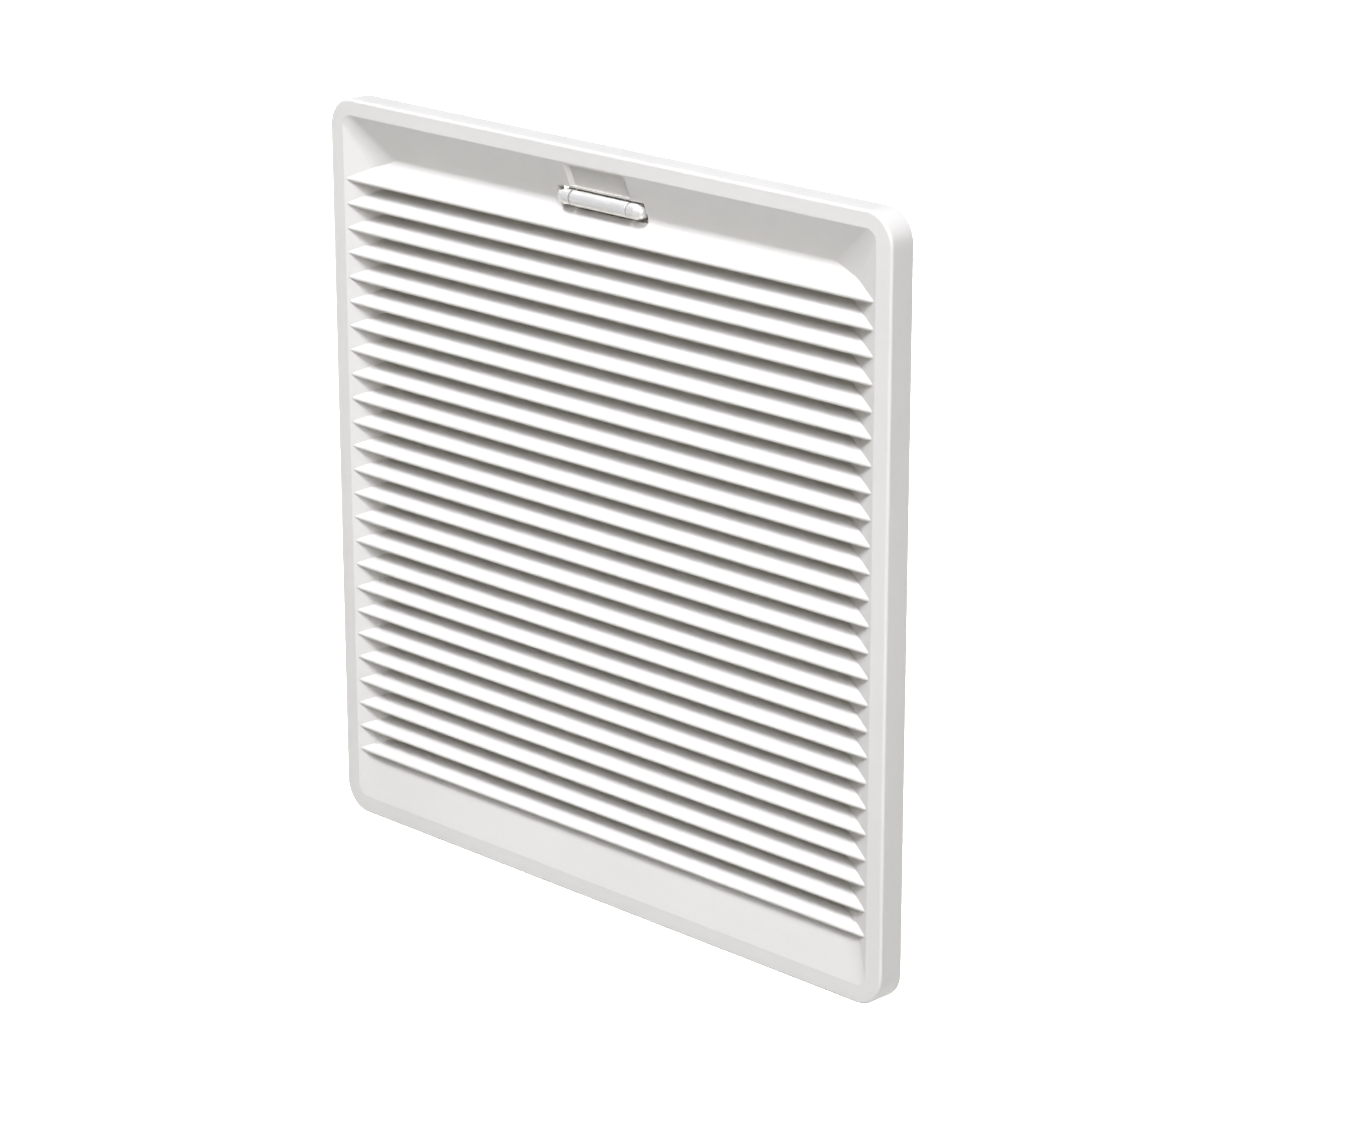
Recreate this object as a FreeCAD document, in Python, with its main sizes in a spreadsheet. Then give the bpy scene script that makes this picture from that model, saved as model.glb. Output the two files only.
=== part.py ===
import FreeCAD, Part
import math
import os

from FreeCAD import Placement, Rotation, Vector

# Exhaust filter grille for a cabinet panel.
# Frame: X to the right, Z up, the louvred face looks towards -Y.
# Origin: centre of the square panel cut-out, in the plane of the panel's outer surface.

doc = FreeCAD.newDocument("ExhaustFilterGrille")

# ---------------------------------------------------------------- dimensions (mm)

TABLE = [
    # front cover, outside
    ("half_face", 161.5, "half of the square front face"),
    ("front_depth", 12.5, "front plane ahead of the panel"),
    ("corner_rad", 13.0, "outer corner of the cover, seen from the front"),
    ("front_edge_rad", 1.2, "rounding of the front outer edge"),
    ("skirt_gap", 0.4, "gap between the skirt's rear edge and the panel"),
    ("skirt_wall", 2.2, "thickness of the skirt"),
    ("face_wall", 2.1, "thickness of the rim behind the front plane"),
    # recessed field of the cover
    ("field_half", 153.4, "half width of the recessed field at the front plane"),
    ("field_top", 154.5, "top edge of the field at the front plane"),
    ("field_bottom", 153.5, "bottom edge of the field at the front plane, below centre"),
    ("field_rad", 5.0, "corner of the field at the front plane"),
    ("field_rad_gain", 0.8, "growth of the field's corners for each mm of depth"),
    ("side_run", 2.65, "inward run of the side walls for each mm of depth"),
    ("top_run", 2.69, "downward run of the top wall for each mm of depth"),
    ("panel_depth", 3.0, "depth of the lower panel's top edge"),
    ("panel_top", 133.5, "top edge of the lower panel, below centre"),
    ("floor_bottom", 131.0, "bottom of the louvred opening, below centre"),
    ("field_depth", 8.0, "depth of the field"),
    ("wall_skin", 2.17, "thickness of the field's walls, measured along Y"),
    ("rim_inner_rad", 1.6, "rounding of the field's edge at the rim"),
    # slats
    ("slat_first", 125.5, "front edge of the top slat, above centre"),
    ("slat_pitch", 10.77, "pitch of the slats"),
    ("slat_count", 25, "number of slats"),
    ("slat_set_back", 0.45, "front edge of the slats behind the front plane"),
    ("slat_nose_rad", 1.05, "nose radius, half the slat's thickness"),
    ("slat_rise", 1.17, "rise of a slat for each mm of depth"),
    ("slat_depth", 8.0, "rear edge of the slats behind the front plane"),
    ("slot_half", 135.0, "half length of the air slots through the dish"),
    ("rib_depth", 6.9, "front edge of the rear stiffening ribs"),
    ("rib_width", 2.0, "thickness of the rear stiffening ribs"),
    ("rib_spacing", 71.0, "distance between the rear stiffening ribs"),
    # latch opening in the cover
    ("slot_x", 25.0, "half width of the latch slot"),
    ("slot_low", 134.7, "lower edge of the latch slot"),
    ("slot_high", 143.4, "upper edge of the latch slot"),
    ("niche_half", 15.5, "half width of the finger niche"),
    ("niche_depth", 1.5, "depth of the finger niche into the top wall"),
    ("niche_run", 2.2, "run of the niche's sloping sides"),
    ("housing_half", 30.0, "half width of the latch housing"),
    ("housing_low", 132.2, "underside of the latch housing"),
    ("housing_high", 145.8, "top of the latch housing"),
    # latch
    ("bar_y", 7.4, "centre of the bar's round front, ahead of the panel"),
    ("bar_z", 139.2, "centre of the bar's round front, above centre"),
    ("bar_rad", 3.3, "radius of the bar's round front"),
    ("bar_half", 16.0, "half length of the finger bar"),
    ("axle_y", 5.6, "latch axle, ahead of the panel"),
    ("axle_z", 139.6, "latch axle, above centre"),
    ("axle_rad", 1.1, "radius of the latch axle"),
    ("axle_fit", 0.05, "running clearance on an axle or pin, on the radius"),
    ("axle_half", 28.2, "half length of the latch axle"),
    ("cap_inner", 16.8, "inner face of the end caps"),
    ("cap_outer", 24.2, "outer face of the end caps"),
    # cover hinge
    ("hinge_y", 4.0, "hinge axis ahead of the panel"),
    ("hinge_z", 157.8, "hinge axis below centre"),
    ("hinge_x", 110.0, "hinges left and right of centre"),
    ("hinge_pin_rad", 1.2, "radius of the hinge pins"),
    ("hinge_lug_half", 5.0, "half width of the frame's hinge lug"),
    ("hinge_ear_in", 5.3, "inner face of the cover's hinge ears"),
    ("hinge_ear_out", 8.3, "outer face of the cover's hinge ears"),
    ("ear_rad", 2.7, "radius of the cover's hinge ears"),
    ("lug_rad", 2.5, "radius of the frame's hinge lugs"),
    # base frame
    ("flange_half", 158.9, "half width of the flange"),
    ("flange_bottom", 153.5, "bottom edge of the flange, below centre"),
    ("flange_front", 3.4, "front face of the flange, ahead of the panel"),
    ("flange_back", 0.6, "rear face of the flange, ahead of the panel"),
    ("flange_rad", 11.0, "corners of the flange"),
    ("collar_half", 145.0, "half width of the collar, for a 291 mm cut-out"),
    ("collar_rad", 6.0, "outer corners of the collar"),
    ("collar_wall", 2.4, "thickness of the collar"),
    ("collar_back", 16.0, "rear of the collar behind the panel"),
    ("grid_front", 13.6, "front of the guard grid"),
    ("grid_back", 15.9, "rear of the guard grid"),
    ("grid_half", 142.2, "half width of the guard grid's frame"),
    ("grid_frame", 2.4, "width of the guard grid's frame"),
    ("grid_bar", 2.0, "width of the guard grid's bars"),
    ("tab_at", 30.0, "snap tabs of the guard grid, either side of the middle"),
    ("tab_half", 5.0, "half width of a snap tab"),
    ("tab_front", 14.1, "front face of the snap tabs"),
    ("tab_thick", 1.2, "thickness of the snap tabs"),
    ("tab_play", 0.15, "play of a snap tab in its slot, each side"),
    ("grid_pitch", 17.75, "pitch of the guard grid"),
    ("grid_count", 15, "bars of the guard grid each way"),
    ("rib_low", 133.6, "underside of the partition above the mat"),
    ("rib_high", 135.6, "top of the partition above the mat"),
    ("groove_in", 146.4, "inner side of the gasket groove"),
    ("groove_out", 150.6, "outer side of the gasket groove"),
    ("groove_floor", 1.5, "floor of the gasket groove, ahead of the panel"),
    ("screw_x", 154.5, "screw holes left and right of centre"),
    ("screw_z", 135.0, "screw holes above and below centre"),
    ("screw_rad", 2.25, "radius of the screw holes"),
    # keeper
    ("keeper_half", 8.0, "half width of the keeper"),
    # panel clips
    ("clip_at", 79.9, "clips either side of the middle of each wall"),
    ("clip_x", 143.2, "clip pin from the centre"),
    ("clip_y", 12.3, "clip pin behind the panel"),
    ("clip_pin_rad", 0.9, "radius of the clip pins"),
    ("clip_barrel_rad", 1.7, "radius of the clip's barrel"),
    ("clip_half", 7.0, "half width of a clip"),
    ("window_half", 7.4, "half width of a clip window"),
    ("cheek_out", 11.4, "outer end of a window's cheeks"),
    # mat
    ("mat_half", 140.6, "half width of the mat"),
    ("mat_top", 133.0, "top of the mat"),
    ("mat_front", 4.1, "front of the mat, ahead of the panel"),
    ("mat_back", 13.3, "rear of the mat, behind the panel"),
    ("mat_rad", 2.0, "corner of the mat"),
]

sheet = doc.addObject("Spreadsheet::Sheet", "Dimensions")
for row, (alias, number, note) in enumerate(TABLE, start=1):
    sheet.set("A%d" % row, note)
    sheet.set("B%d" % row, str(number))
    sheet.setAlias("B%d" % row, alias)
doc.recompute()


class Size:
    """A number with the formula of sheet cells that gives it."""

    def __init__(self, value, text):
        self.value = float(value)
        self.text = text

    def __add__(self, other):
        other = as_size(other)
        return Size(self.value + other.value, "(%s + %s)" % (self.text, other.text))

    def __radd__(self, other):
        return as_size(other) + self

    def __sub__(self, other):
        other = as_size(other)
        return Size(self.value - other.value, "(%s - %s)" % (self.text, other.text))

    def __rsub__(self, other):
        return as_size(other) - self

    def __mul__(self, other):
        other = as_size(other)
        return Size(self.value * other.value, "(%s * %s)" % (self.text, other.text))

    def __rmul__(self, other):
        return as_size(other) * self

    def __neg__(self):
        return Size(-self.value, "(0 - %s)" % self.text)


def as_size(item):
    return item if isinstance(item, Size) else Size(item, repr(float(item)))


D = {alias: Size(float(sheet.get(alias)), "Dimensions.%s" % alias) for alias, _, _ in TABLE}


# ---------------------------------------------------------------- small helpers


def new_body(label):
    body = doc.addObject("PartDesign::Body", label)
    body.Label = label
    return body


def origin_item(body, role):
    for item in body.Origin.OriginFeatures:
        if item.Role == role:
            return item
    raise RuntimeError("no %s in %s" % (role, body.Label))


def new_sketch(body, name, role, offset=None):
    """A sketch on one of the body's own origin planes, moved along that plane's normal.
    XZ_Plane's normal is -Y, YZ_Plane's is +X and XY_Plane's is +Z."""
    sk = body.newObject("Sketcher::SketchObject", name)
    sk.AttachmentSupport = [(origin_item(body, role), "")]
    sk.MapMode = "FlatFace"
    if offset is not None:
        offset = as_size(offset)
        sk.AttachmentOffset = Placement(Vector(0, 0, offset.value), Rotation())
        sk.setExpression("AttachmentOffset.Base.z", offset.text)
    return sk


def bind(sk, constraint, text):
    index = sk.addConstraint(constraint)
    name = "size_%d" % index
    sk.renameConstraint(index, name)
    sk.setExpression("Constraints." + name, text)
    return index


def place(sk, axis, geo, pos, size):
    """Fixes one coordinate of a point, bound to the sheet."""
    size = as_size(size)
    kind = "Distance" + axis
    if size.value >= 0:
        bind(sk, Part_constraint(kind, -1, 1, geo, pos, size.value), size.text)
    else:
        bind(sk, Part_constraint(kind, geo, pos, -1, 1, -size.value), "0 - %s" % size.text)


import Sketcher

Part_constraint = Sketcher.Constraint


def polygon(sk, points):
    """A closed outline of straight lines, each corner bound to the sheet."""
    pts = [(as_size(x), as_size(y)) for x, y in points]
    first = sk.GeometryCount
    n = len(pts)
    for i in range(n):
        a, b = pts[i], pts[(i + 1) % n]
        sk.addGeometry(Part.LineSegment(Vector(a[0].value, a[1].value, 0), Vector(b[0].value, b[1].value, 0)), False)
    for i in range(n):
        sk.addConstraint(Part_constraint("Coincident", first + i, 2, first + (i + 1) % n, 1))
    for i in range(n):
        place(sk, "X", first + i, 1, pts[i][0])
        place(sk, "Y", first + i, 1, pts[i][1])


def rounded(sk, x0, x1, y0, y1, rad):
    """A rectangle with rounded corners."""
    x0, x1, y0, y1, rad = (as_size(v) for v in (x0, x1, y0, y1, rad))
    a, b, c, d, r = x0.value, x1.value, y0.value, y1.value, rad.value
    g = sk.GeometryCount
    half = math.pi / 2

    def line(p, q):
        sk.addGeometry(Part.LineSegment(Vector(p[0], p[1], 0), Vector(q[0], q[1], 0)), False)

    def arc(cx, cy, start):
        sk.addGeometry(Part.ArcOfCircle(Part.Circle(Vector(cx, cy, 0), Vector(0, 0, 1), r), start, start + half), False)

    line((a + r, c), (b - r, c))
    arc(b - r, c + r, -half)
    line((b, c + r), (b, d - r))
    arc(b - r, d - r, 0)
    line((b - r, d), (a + r, d))
    arc(a + r, d - r, half)
    line((a, d - r), (a, c + r))
    arc(a + r, c + r, 2 * half)
    for i in range(8):
        sk.addConstraint(Part_constraint("Tangent", g + i, 2, g + (i + 1) % 8, 1))
    for i in (0, 4):
        sk.addConstraint(Part_constraint("Horizontal", g + i))
    for i in (2, 6):
        sk.addConstraint(Part_constraint("Vertical", g + i))
    for i in (3, 5, 7):
        sk.addConstraint(Part_constraint("Equal", g + 1, g + i))
    bind(sk, Part_constraint("Radius", g + 1, r), rad.text)
    place(sk, "X", g + 6, 1, x0)
    place(sk, "X", g + 2, 1, x1)
    place(sk, "Y", g + 0, 1, y0)
    place(sk, "Y", g + 4, 1, y1)


def circle(sk, x, y, rad):
    x, y, rad = as_size(x), as_size(y), as_size(rad)
    g = sk.GeometryCount
    sk.addGeometry(Part.Circle(Vector(x.value, y.value, 0), Vector(0, 0, 1), rad.value), False)
    bind(sk, Part_constraint("Radius", g, rad.value), rad.text)
    place(sk, "X", g, 3, x)
    place(sk, "Y", g, 3, y)


def extrude(kind, body, name, sk, length, back=False, both=False, through=False):
    feature = body.newObject("PartDesign::" + kind, name)
    feature.Profile = sk
    if both:
        feature.SideType = "Symmetric"
    if through:
        feature.Type = "ThroughAll"
    else:
        length = as_size(length)
        feature.Length = length.value
        feature.setExpression("Length", length.text)
    feature.Reversed = back
    sk.Visibility = False
    body.Tip = feature
    return feature


def pad(body, name, sk, length, **how):
    return extrude("Pad", body, name, sk, length, **how)


def pocket(body, name, sk, length=None, **how):
    """A pocket, checked to have removed something."""
    doc.recompute()
    before = body.Shape.Volume
    feature = extrude("Pocket", body, name, sk, length, through=length is None, **how)
    doc.recompute()
    if not body.Shape.Volume < before - 0.01:
        raise RuntimeError("%s in %s cuts nothing" % (name, body.Label))
    return feature


def loft(kind, body, name, sketches):
    feature = body.newObject("PartDesign::" + kind, name)
    feature.Profile = sketches[0]
    feature.Sections = sketches[1:]
    feature.Ruled = True
    body.Tip = feature
    return feature


def row_of(body, name, original, role, spacing, count, reverse=False):
    """Repeats a feature along one of the body's origin axes."""
    feature = body.newObject("PartDesign::LinearPattern", name)
    feature.Originals = [original]
    feature.Direction = (origin_item(body, role), [""])
    feature.Mode = "Spacing"
    spacing, count = as_size(spacing), as_size(count)
    feature.Offset = spacing.value
    feature.setExpression("Offset", spacing.text)
    feature.Occurrences = int(count.value)
    feature.setExpression("Occurrences", count.text)
    feature.Reversed = reverse
    body.Tip = feature
    return feature


def ring_of(body, name, originals, role, count):
    """Repeats features evenly about one of the body's origin axes."""
    feature = body.newObject("PartDesign::PolarPattern", name)
    feature.Originals = originals
    feature.Axis = (origin_item(body, role), [""])
    feature.Angle = 360.0
    feature.Occurrences = count
    body.Tip = feature
    return feature


def mirror(body, name, originals, role):
    feature = body.newObject("PartDesign::Mirrored", name)
    feature.Originals = originals
    feature.MirrorPlane = (origin_item(body, role), [""])
    body.Tip = feature
    return feature


def fillet(body, name, rad, pick):
    """Rounds the edges that pick() chooses from the body's present shape."""
    doc.recompute()
    base = body.Tip
    names = ["Edge%d" % (i + 1) for i, edge in enumerate(base.Shape.Edges) if pick(edge)]
    if not names:
        raise RuntimeError("no edge for %s in %s" % (name, body.Label))
    feature = body.newObject("PartDesign::Fillet", name)
    feature.Base = (base, names)
    rad = as_size(rad)
    feature.Radius = rad.value
    feature.setExpression("Radius", rad.text)
    body.Tip = feature
    doc.recompute()
    if feature.Shape.isNull() or "Invalid" in feature.State:
        raise RuntimeError("%s in %s can't be rounded" % (name, body.Label))
    return feature


def at(edge, **where):
    """True if the whole edge lies at the given coordinates."""
    box = edge.BoundBox
    for axis, value in where.items():
        low = getattr(box, axis.upper() + "Min")
        high = getattr(box, axis.upper() + "Max")
        if abs(low - value) > 0.02 or abs(high - value) > 0.02:
            return False
    return True


# ================================================================ front cover
# One moulding: skirt, rim, dished field with sloping walls, inclined slats, lower panel.

cover = new_body("front_cover")
front = D["front_depth"]

# block of the whole cover, then hollowed from the rear behind the rim
sk = new_sketch(cover, "OutlineSketch", "XZ_Plane", front)
rounded(sk, -D["half_face"], D["half_face"], -D["half_face"], D["half_face"], D["corner_rad"])
pad(cover, "Block", sk, front - D["skirt_gap"], back=True)

# small rounding of the outer front edge
fillet(cover, "FrontEdge", D["front_edge_rad"],
       lambda e: at(e, y=-front.value))

inner = D["half_face"] - D["skirt_wall"]
sk = new_sketch(cover, "HollowSketch", "XZ_Plane", D["skirt_gap"])
rounded(sk, -inner, inner, -inner, inner, D["corner_rad"] - D["skirt_wall"])
pocket(cover, "Hollow", sk, front - D["skirt_gap"] - D["face_wall"], back=True)


def field_outline(name, depth, offset=0.0, bottom=None, plane_depth=None):
    """Outline of the dished field, or of its skin's rear side, at a depth behind the front plane."""
    depth = as_size(depth)
    shift = depth - offset
    half = D["field_half"] - D["side_run"] * shift
    top = D["field_top"] - D["top_run"] * shift
    sketch = new_sketch(cover, name, "XZ_Plane", front - (depth if plane_depth is None else plane_depth))
    rounded(sketch, -half, half, -as_size(bottom), top, D["field_rad"] + D["field_rad_gain"] * shift)
    return sketch


# skin of the dish, a stepped cone of rounded rectangles behind the rim
panel_run = (D["field_bottom"] - D["panel_top"]).value / D["panel_depth"].value
skin_start = D["face_wall"] - 0.2
loft("AdditiveLoft", cover, "FieldSkin", [
    field_outline("SkinA", skin_start, D["wall_skin"], D["field_bottom"] + (D["wall_skin"] - skin_start) * panel_run),
    field_outline("SkinB", D["panel_depth"] + D["wall_skin"], D["wall_skin"], D["panel_top"]),
    field_outline("SkinC", D["field_depth"], D["wall_skin"], D["panel_top"] - 0.05),
])

# housing for the latch, behind the foot of the top wall
sk = new_sketch(cover, "HousingSketch", "XZ_Plane", front - 3.2)
polygon(sk, [(-D["housing_half"], D["housing_low"]), (D["housing_half"], D["housing_low"]),
             (D["housing_half"], D["housing_high"]), (-D["housing_half"], D["housing_high"])])
pad(cover, "Housing", sk, D["field_depth"] - 3.2, back=True)

# the dish itself: first down to the lower panel's top edge, then on to the full depth
loft("SubtractiveLoft", cover, "FieldUpper", [
    field_outline("FieldA", 0.0, 0.0, D["field_bottom"]),
    field_outline("FieldB", D["panel_depth"], 0.0, D["panel_top"]),
])
loft("SubtractiveLoft", cover, "FieldLower", [
    field_outline("FieldC", D["panel_depth"], 0.0, D["floor_bottom"]),
    field_outline("FieldD", D["field_depth"] + 0.6, 0.0, D["floor_bottom"]),
])

# soft edge between the rim and the dish
fillet(cover, "FieldEdge", D["rim_inner_rad"],
       lambda e: at(e, y=-front.value) and abs(e.BoundBox.Center.x) < 155 and abs(e.BoundBox.Center.z) < 156)

# air slots through the floor of the dish; its side walls run on behind the slats' ends
sk = new_sketch(cover, "SlotFieldSketch", "XZ_Plane", front - D["panel_depth"])
polygon(sk, [(-D["slot_half"], -D["floor_bottom"]), (D["slot_half"], -D["floor_bottom"]),
             (D["slot_half"], D["slat_first"] + 1.0), (-D["slot_half"], D["slat_first"] + 1.0)])
pocket(cover, "SlotField", sk, D["field_depth"])

# slats: a leaf with a round nose, rising towards the rear
nose_r = D["slat_nose_rad"]
nose_y = -(front - D["slat_set_back"] - nose_r)
rise = D["slat_rise"].value
lean = math.sqrt(1 + rise * rise)
rear_y = -(front - D["slat_depth"])
reach = rear_y - nose_y


def slat_profile(name, number):
    """Section of one slat, numbered from the top."""
    sketch = new_sketch(cover, name, "YZ_Plane")
    nose_z = D["slat_first"] + nose_r - D["slat_pitch"] * number
    upper_z = nose_z + reach * rise + nose_r * lean
    lower_z = nose_z + reach * rise - nose_r * lean
    uy, uz = 1 / lean, rise / lean  # along the slat, towards the rear
    ny, nz, nr = nose_y.value, nose_z.value, nose_r.value
    t1 = Vector(ny - uz * nr, nz + uy * nr, 0)
    t2 = Vector(ny + uz * nr, nz - uy * nr, 0)
    rear_up = Vector(rear_y.value, upper_z.value, 0)
    rear_low = Vector(rear_y.value, lower_z.value, 0)
    sketch.addGeometry(Part.LineSegment(t1, rear_up), False)
    sketch.addGeometry(Part.LineSegment(rear_up, rear_low), False)
    sketch.addGeometry(Part.LineSegment(rear_low, t2), False)
    start = math.atan2(t1.y - nz, t1.x - ny)
    sketch.addGeometry(Part.ArcOfCircle(Part.Circle(Vector(ny, nz, 0), Vector(0, 0, 1), nr), start, start + math.pi), False)
    sketch.addConstraint(Part_constraint("Coincident", 0, 2, 1, 1))
    sketch.addConstraint(Part_constraint("Coincident", 1, 2, 2, 1))
    sketch.addConstraint(Part_constraint("Tangent", 0, 1, 3, 1))
    sketch.addConstraint(Part_constraint("Tangent", 2, 2, 3, 2))
    bind(sketch, Part_constraint("Radius", 3, nr), nose_r.text)
    place(sketch, "X", 3, 3, nose_y)
    place(sketch, "Y", 3, 3, nose_z)
    place(sketch, "X", 0, 2, rear_y)
    place(sketch, "Y", 0, 2, upper_z)
    place(sketch, "X", 1, 2, rear_y)
    place(sketch, "Y", 1, 2, lower_z)
    return sketch


def slat_pad(name, number):
    return pad(cover, name + "Slat", slat_profile(name + "SlatSketch", number), 2 * D["field_half"] + 0.6, both=True)


top_slat = slat_pad("Upper", 0)

# soft foot where the top wall meets the first slat: a filler with a hollow face tangent to both
wall_run = D["top_run"].value
line_wall = Vector(-1, wall_run, 0).normalize()
line_slat = Vector(-1, -rise, 0).normalize()
slat_at_front = D["slat_first"].value + nose_r.value * (1 + lean) - (D["slat_set_back"].value + nose_r.value) * rise
foot_depth = (D["field_top"].value - slat_at_front) / (wall_run + rise)
foot = Vector(foot_depth - front.value, D["field_top"].value - wall_run * foot_depth, 0)
foot_r = 5.0
half_angle = line_wall.getAngle(line_slat) / 2
run_out = foot_r / math.tan(half_angle)
middle = (line_wall + line_slat).normalize()
centre = foot + middle * (foot_r / math.sin(half_angle))
on_wall, on_slat = foot + line_wall * run_out, foot + line_slat * run_out
sk = new_sketch(cover, "FootSketch", "YZ_Plane")
behind = foot + Vector(0.7, 0, 0)
inside_wall, inside_slat = on_wall + Vector(0.4, 0.05, 0), on_slat + Vector(0.4, -0.05, 0)
from_slat, from_wall = on_slat - centre, on_wall - centre
angle_a, angle_b = math.atan2(from_slat.y, from_slat.x), math.atan2(from_wall.y, from_wall.x)
sk.addGeometry(Part.ArcOfCircle(Part.Circle(centre, Vector(0, 0, 1), foot_r), angle_a, angle_b), False)
chain = [on_slat, inside_slat, behind, inside_wall, on_wall]
for p, q in zip(chain[:-1], chain[1:]):
    sk.addGeometry(Part.LineSegment(p, q), False)
for i in range(1, 4):
    sk.addConstraint(Part_constraint("Coincident", i, 2, i + 1, 1))
sk.addConstraint(Part_constraint("Coincident", 0, 1, 1, 1))
sk.addConstraint(Part_constraint("Coincident", 0, 2, 4, 2))
for geo, point in ((1, on_slat), (2, inside_slat), (3, behind), (4, inside_wall)):
    place(sk, "X", geo, 1, point.x)
    place(sk, "Y", geo, 1, point.y)
place(sk, "X", 4, 2, on_wall.x)
place(sk, "Y", 4, 2, on_wall.y)
bind(sk, Part_constraint("Radius", 0, foot_r), "5.0")
pad(cover, "FieldFoot", sk, 281.0, both=True)

# slot for the latch bar, through wall and housing
sk = new_sketch(cover, "LatchSlotSketch", "XZ_Plane", front)
polygon(sk, [(-D["slot_x"], D["slot_low"]), (D["slot_x"], D["slot_low"]),
             (D["slot_x"], D["slot_high"]), (-D["slot_x"], D["slot_high"])])
pocket(cover, "LatchSlot", sk, 9.0)

# finger niche above the bar, sunk into the sloping wall, with sloping sides and a ledge over the slot
top, run = D["field_top"], D["top_run"]
high, low = D["field_top"] - 0.9, D["slot_high"] + 0.9


def niche_section(name, x, depth):
    """Section of the niche, its floor at a depth behind the sloping wall."""
    sketch = new_sketch(cover, name, "YZ_Plane", x)
    polygon(sketch, [(-(front + 1.0), high), (-(front - depth - (top - high) * (1 / run.value)), high),
                     (-(front - depth - (top - low) * (1 / run.value)), low), (-(front + 1.0), low)])
    return sketch


pocket(cover, "Niche", niche_section("NicheSketch", 0, D["niche_depth"]), 2 * D["niche_half"], both=True)
niche_side = loft("SubtractiveLoft", cover, "NicheSide", [
    niche_section("NicheSideA", D["niche_half"] - 0.01, D["niche_depth"]),
    niche_section("NicheSideB", D["niche_half"] + D["niche_run"], as_size(-0.1)),
])
mirror(cover, "NicheSides", [niche_side], "YZ_Plane")

# seats of the latch axle in the housing's ends
sk = new_sketch(cover, "AxleSeatSketch", "YZ_Plane")
circle(sk, -D["axle_y"], D["axle_z"], D["axle_rad"] + 0.02)
pocket(cover, "AxleSeats", sk, 2 * D["axle_half"] + 0.4, both=True)

# hinge ears at the bottom: a boss round the pin, joined to the rim and the skirt
hy, hz = -D["hinge_y"], -D["hinge_z"]
ear_w = D["hinge_ear_out"] - D["hinge_ear_in"]
ears = []
for number, inner_face in enumerate((D["hinge_x"] + D["hinge_ear_in"], D["hinge_x"] - D["hinge_ear_out"])):
    sk = new_sketch(cover, "EarSketch%d" % number, "YZ_Plane", inner_face)
    polygon(sk, [(-(front - 1.5), -(D["half_face"] - 1.0)), (hy - 0.2, -(D["half_face"] - 1.0)),
                 (hy + D["ear_rad"] * 0.75, hz - 1.9), (hy + D["ear_rad"], hz), (hy + D["ear_rad"] * 0.7, hz + D["ear_rad"] * 0.7),
                 (hy, hz + D["ear_rad"]), (-(front - 1.5), hz + D["ear_rad"] + 1.2)])
    ears.append(pad(cover, "Ear%d" % number, sk, ear_w))
mirror(cover, "Ears", ears, "YZ_Plane")

# the frame's hinge lugs reach through notches in the skirt
sk = new_sketch(cover, "LugNotchSketch", "XY_Plane", -D["half_face"] - 1.0)
notch = D["hinge_ear_in"]
polygon(sk, [(D["hinge_x"] - notch, -8.6), (D["hinge_x"] + notch, -8.6),
             (D["hinge_x"] + notch, 1.0), (D["hinge_x"] - notch, 1.0)])
notch_cut = pocket(cover, "LugNotch", sk, 6.0, back=True)
mirror(cover, "LugNotches", [notch_cut], "YZ_Plane")

sk = new_sketch(cover, "PinBoreSketch", "YZ_Plane", D["hinge_x"] - D["hinge_ear_out"] - 0.5)
circle(sk, hy, hz, D["hinge_pin_rad"] + D["axle_fit"])
bore = pocket(cover, "PinBore", sk, 2 * D["hinge_ear_out"] + 1.0, back=True)
mirror(cover, "PinBores", [bore], "YZ_Plane")

# the skirt's lower rear edge is cut back, so it swings clear of the panel
sk = new_sketch(cover, "ReliefSketch", "YZ_Plane")
polygon(sk, [(-3.2, -(D["half_face"] + 0.5)), (0.5, -(D["half_face"] + 0.5)), (0.5, -(D["half_face"] - 3.0)), (-0.35, -(D["half_face"] - 3.0))])
pocket(cover, "Relief", sk, 2 * D["half_face"] + 2.0, both=True)

# the other slats, in three rows that follow on
done = 0
for name, count in (("Upper", 9), ("Middle", 8), ("Lower", int(D["slat_count"].value) - 17)):
    if done:
        slat = slat_pad(name, done)
    else:
        slat = top_slat
    doc.recompute()
    before = cover.Shape.Volume
    row_of(cover, name + "Slats", slat, "Z_Axis", D["slat_pitch"], count, reverse=True)
    doc.recompute()
    if not cover.Tip.Shape.Volume > before + 1000 > 90000:
        raise RuntimeError("the row %sSlats is lost" % name)
    done += count

# stiffening ribs across the rear of the slats
sk = new_sketch(cover, "RibSketch", "XZ_Plane", front - D["rib_depth"])
rib_x = D["rib_spacing"] * 1.5
polygon(sk, [(-rib_x - D["rib_width"] * 0.5, -D["floor_bottom"] - 0.5), (-rib_x + D["rib_width"] * 0.5, -D["floor_bottom"] - 0.5),
             (-rib_x + D["rib_width"] * 0.5, D["slat_first"] + 5.0), (-rib_x - D["rib_width"] * 0.5, D["slat_first"] + 5.0)])
rib = pad(cover, "Rib", sk, D["slat_depth"] - D["rib_depth"], back=True)
row_of(cover, "Ribs", rib, "X_Axis", D["rib_spacing"], 4)

# ================================================================ base frame
# One moulding: flange, square collar, partition, hinge lugs, clip windows.

base = new_body("base_frame")
fh = D["flange_half"]
sk = new_sketch(base, "FlangeSketch", "XZ_Plane", D["flange_front"])
rounded(sk, -fh, fh, -D["flange_bottom"], fh, D["flange_rad"])
pad(base, "Flange", sk, D["flange_front"] - D["flange_back"], back=True)

ch = D["collar_half"]
sk = new_sketch(base, "CollarSketch", "XZ_Plane", D["flange_front"])
rounded(sk, -ch, ch, -ch, ch, D["collar_rad"])
pad(base, "Collar", sk, D["flange_front"] + D["collar_back"], back=True)

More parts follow.
